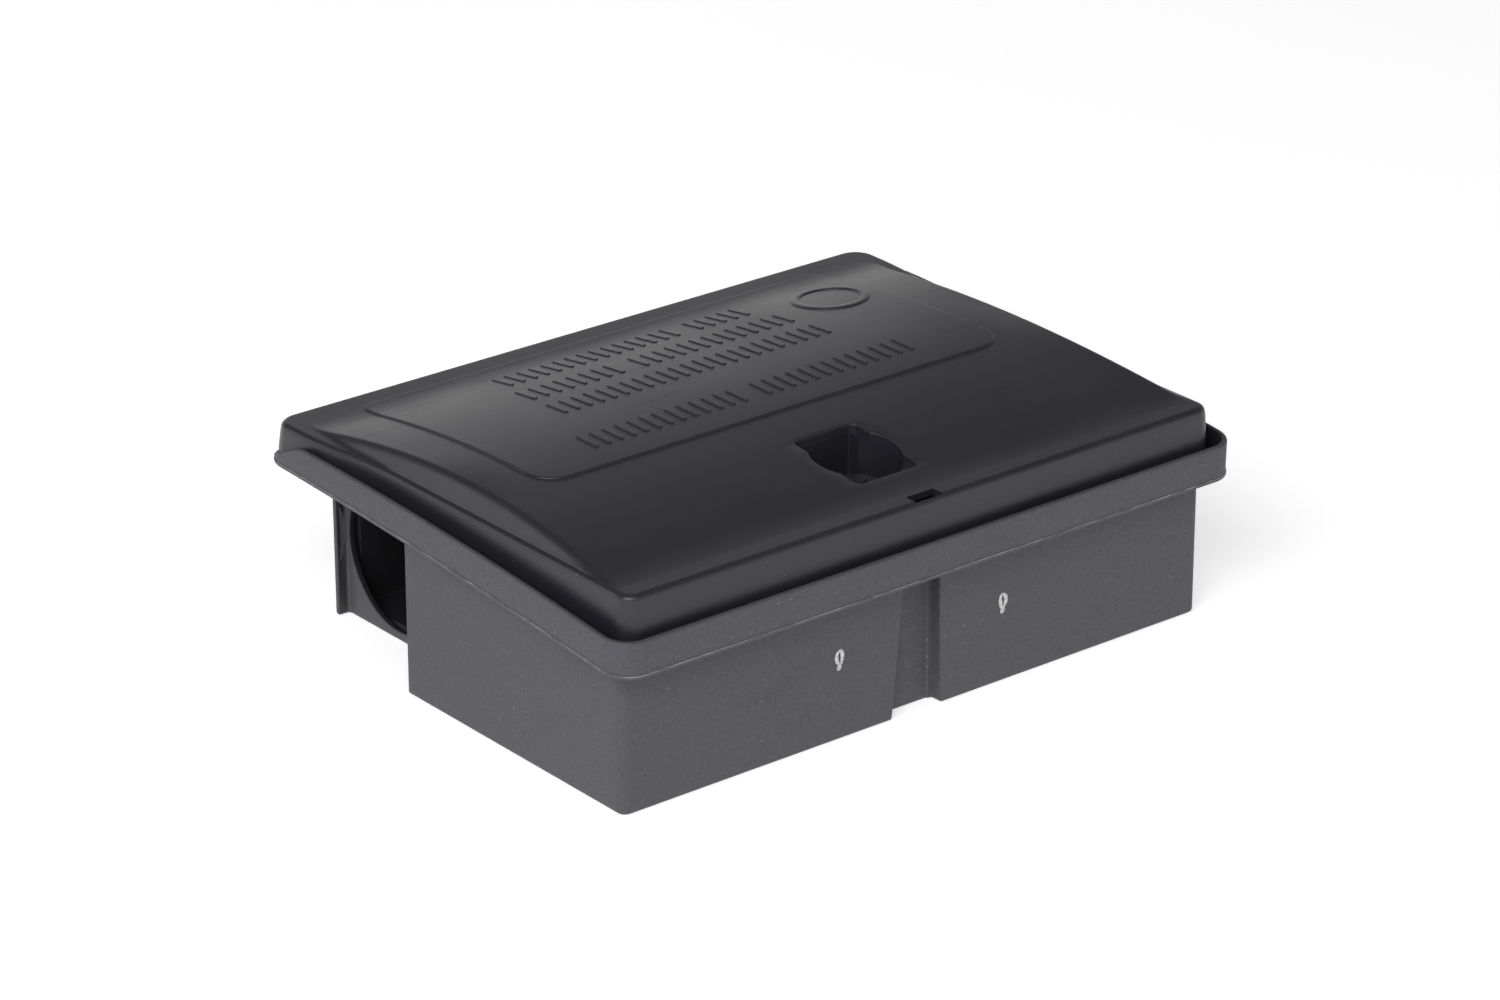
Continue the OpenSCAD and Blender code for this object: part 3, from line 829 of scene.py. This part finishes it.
def make_lid():
    lid = make_lid_shell()
    cross_cut(lid, [s * x for x in (8, 17.5, 30, 45, 60, 75, 90) for s in (-1, 1)])
    centre = (0, LOCK_Y, 0)
    cup_r, join_z, floor_z = WELL_R + CUP_T, LID_Z + 0.5, CUP_Z + CUP_T
    cup = turned("cup", [(cup_r, CUP_Z), (cup_r, join_z)], "Z", centre)
    pad_y = RECESS_Y + 2
    pad_plan = rim_corners(cup_r + 0.1, LOCK_Y - pad_y, LOCK_Y + pad_y, 1)
    pad = plate("pad", pad_plan, 0.5, 0.3, 3, 4, lambda x, y: lid_height(x, y) - 1.3, LID_Z - 2.5)
    pocket_y, pocket_wall = LOCK_Y + POCKET_Y, POCKET_X + CUP_T
    pocket_high = (pocket_wall, pocket_y + CUP_T, join_z)
    joined = [cup, block("pocket_cup", (-pocket_wall, LOCK_Y, CUP_Z + 0.01), pocket_high), pad]
    notches = []
    for s in (-1, 1):
        x = s * HINGE_X
        joined.append(swept_bar("knuckle", knuckle_profile(), x - KNUCKLE_W / 2, x + KNUCKLE_W / 2))
        notches.append(block("hinge_notch", (x - 10.2, 80, 40), (x + 10.2, 90, LID_Z - TOP_T + 0.1)))
    combine(lid, notches, "DIFFERENCE", 32)
    combine(lid, joined, "UNION", 32)
    pocket = rim_corners(POCKET_X, LOCK_Y, pocket_y, 0.8)
    recess = rim_corners(RECESS_X, LOCK_Y - RECESS_Y, LOCK_Y + RECESS_Y, 2.5)
    cutters = [
        column("well_cutter", circle_corners(0, LOCK_Y, WELL_R), floor_z, lid_height, 0.5, 20),
        column("pocket_cutter", pocket, floor_z + 0.01, lid_height, 0.4),
        turned("hub_cutter", [(HUB_R, CUP_Z - 1), (HUB_R, floor_z + 2)], "Z", centre, 48),
        column("recess_cutter", recess, lambda x, y: lid_height(x, y) - RECESS_DEPTH, lid_height, 0.45),
        block("slot_cutter", (-SLOT_X, SLOT_MID - SLOT_Y, 60), (SLOT_X, SLOT_MID + SLOT_Y, 75)),
    ]
    combine(lid, cutters, "DIFFERENCE", 32)
    piece(lid, LID, "lid", "lid_plastic", "lid_shell")


BAR_RISE = 0.35
BAR_DEEP = 10.5
BAR_WIDE = 1.6
# centre along Y, half width and the number of bars in each group of a row
BAR_ROWS = ((64.8, 47.5, (15, 5)), (47.4, 51.5, (8, 13)), (30.3, 52.5, (23,)), (2.0, 62.5, (13, 13)))


def panel_height(x, y):
    return lid_height(x, y) + PANEL_RISE


def plate(name, corners, rise, lip=0.35, step=3, arc=6, base=lid_height, foot=None):
    """A raised area that follows the surface base(x, y), with a soft edge.

    foot is the height of its flat underside, if it has one."""
    counts = run_counts(corners, step, arc)
    path = lambda inset: outline(corners, counts, inset, arc)
    height = lambda up: lambda x, y: base(x, y) + up
    rings = [ring(path(0), height(-0.5) if foot is None else foot), ring(path(0), height(0))]
    for a in (30, 60, 90):
        turn = math.radians(a)
        rings.append(ring(path(lip * (1 - math.cos(turn))), height(rise * math.sin(turn))))
    rings.append(ring(path(lip + 0.12), height(rise)))
    size = len(rings[0])
    half = len(corners) // 2
    faces = loft_faces(len(rings), size)
    faces += strip_cap(0, counts, arc, half, True)
    faces += strip_cap((len(rings) - 1) * size, counts, arc, half, False)
    return new_object(name, [p for r in rings for p in r], faces, 60)


def raised_bar(name, x0, x1, y):
    y0, y1 = y - BAR_DEEP / 2, y + BAR_DEEP / 2
    round_end = 0.45 * BAR_WIDE
    corners = [(x1, y0, round_end), (x1, y1, round_end), (x0, y1, round_end), (x0, y0, round_end)]
    return plate(name, corners, BAR_RISE, 0.2, 3, 4, panel_height)


def bar_row(name, y, half, groups):
    """A row of plain raised bars in groups."""
    steps = sum(groups) - 1 + (len(groups) - 1)
    pitch = (2 * half - BAR_WIDE) / steps
    x = -half
    bars = []
    for group in groups:
        for _ in range(group):
            bars.append(raised_bar(name, x, x + BAR_WIDE, y))
            x += pitch
        x += pitch
    return join_all(name, bars)


def blank_ring(name, x0, y0, outer, inner):
    """A flat raised ring that follows the lid's top."""
    around = 96
    profile = [(outer, -0.5), (outer, 0), (outer - 0.12, BAR_RISE * 0.7), (outer - 0.35, BAR_RISE)]
    profile += [(inner + 0.35, BAR_RISE), (inner + 0.12, BAR_RISE * 0.7), (inner, 0), (inner, -0.5)]
    rings = []
    for k in range(around):
        a = 2 * math.pi * k / around
        flat = [Vector((x0 + radius * math.cos(a), y0 + radius * math.sin(a), up)) for radius, up in profile]
        rings.append([Vector((p.x, p.y, panel_height(p.x, p.y) + p.z)) for p in flat])
    return loft(name, rings, 60, True)


def make_lid_relief():
    """The raised panel, and plain bars and a blank ring in place of its lettering and sign."""
    corners = mirror_corners([(PANEL_X, PANEL_Y0, PANEL_R), (PANEL_X, PANEL_Y1, PANEL_REAR_R)])
    panel = plate("lid_panel", corners, PANEL_RISE, 0.6)
    piece(panel, LID, "lid", "lid_plastic")
    for number, (y, half, groups) in enumerate(BAR_ROWS):
        bars = bar_row(f"lid_bars_{number + 1}", y, half, groups)
        piece(bars, LID, "lid", "lid_plastic")
    piece(blank_ring("lid_ring", 74.5, 53, 13, 9.8), LID, "lid", "lid_plastic")


def bevel_node(name, width=0.3, angle=40):
    """Softens a CAD node's edges."""
    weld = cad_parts[name].modifiers.new("weld", "WELD")
    weld.merge_threshold = 0.001 * MM
    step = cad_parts[name].modifiers.new("soft_edges", "BEVEL")
    step.width = width * MM
    step.segments = 2
    step.limit_method = "ANGLE"
    step.angle_limit = math.radians(angle)


def finish_node(name, material, bevel=0.0):
    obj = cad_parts[name]
    if not obj.material_slots:
        obj.data.materials.append(material)
    for held in obj.material_slots:
        held.material = material
    if bevel:
        bevel_node(name, bevel)


make_base()
make_flash_line()
for s in (-1, 1):
    make_gate_mark(s)
make_lid()
make_lid_relief()

for name in ("inner_baffle", "bait_tray_left", "bait_tray_right"):
    finish_node(name, TRAY, 0.25)
for name in ("hinge_pin_left", "hinge_pin_right", "bait_rod_left", "bait_rod_right", "lock_cam", "cam_screw"):
    finish_node(name, STEEL)
for name in [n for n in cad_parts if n.startswith("bait_block")]:
    finish_node(name, WAX, 0.8)
# the washer's near-black colour is painted shade at the floor of the key well
finish_node("lock_washer", WASHER_SHADE_STEEL)
finish_node("lock_barrel", LOCK, 0.25)

# ---- studio ----


def make_floor():
    mesh = bpy.data.meshes.new("floor")
    reach = 6
    places = [(x * reach, y * reach, 0) for x, y in ((-1, -1), (1, -1), (1, 1), (-1, 1))]
    mesh.from_pydata(places, [], [(0, 1, 2, 3)])
    mesh.materials.append(floor_white("floor_white"))
    floor = bpy.data.objects.new("floor", mesh)
    bpy.context.collection.objects.link(floor)


def soft_light(name, place, aim, size, power):
    data = bpy.data.lights.new(name, "AREA")
    data.shape = "RECTANGLE"
    data.size, data.size_y = size
    data.energy = power
    lamp = bpy.data.objects.new(name, data)
    lamp.location = place
    lamp.rotation_euler = (Vector(aim) - Vector(place)).to_track_quat("-Z", "Y").to_euler()
    lamp.visible_camera = False
    bpy.context.collection.objects.link(lamp)


def make_world():
    """A white surround at the horizon that darkens upwards, as between a white sweep and a dark ceiling."""
    world = bpy.data.worlds.new("studio")
    world.use_nodes = True
    tree = world.node_tree
    background = tree.nodes["Background"]
    place = tree.nodes.new("ShaderNodeTexCoord").outputs["Generated"]
    split = tree.nodes.new("ShaderNodeSeparateXYZ")
    ramp = tree.nodes.new("ShaderNodeValToRGB")
    tree.links.new(place, split.inputs[0])
    tree.links.new(split.outputs["Z"], ramp.inputs[0])
    tree.links.new(ramp.outputs[0], background.inputs["Color"])
    stops = ((0.0, 1.0), (0.14, 0.75), (0.34, 0.22), (0.6, 0.12), (1.0, 0.2))
    while len(ramp.color_ramp.elements) < len(stops):
        ramp.color_ramp.elements.new(0.5)
    for element, (at, grey) in zip(ramp.color_ramp.elements, stops):
        element.position = at
        element.color = (grey, grey, grey, 1)
    background.inputs["Strength"].default_value = 1
    bpy.context.scene.world = world


make_floor()
make_world()
soft_light("key_left", (-1.6, -0.9, 1.5), (0, 0, 0.04), (1.6, 1.2), 23)
soft_light("front_fill", (0.6, -2.0, 1.0), (0, 0, 0.04), (1.8, 1.0), 1)
soft_light("corner_glint", (-1.05, -1.25, 1.5), (-0.1, -0.08, 0.07), (2.0, 0.3), 12)
soft_light("left_end_glow", (-1.25, 1.4, 0.85), (-0.1, 0, 0.07), (0.9, 0.5), 2.5)
soft_light("rear_left_glow", (0.5, 1.05, 0.32), (-0.09, 0.06, 0.07), (0.7, 0.45), 0.38)
bpy.context.scene.view_settings.view_transform = "Standard"
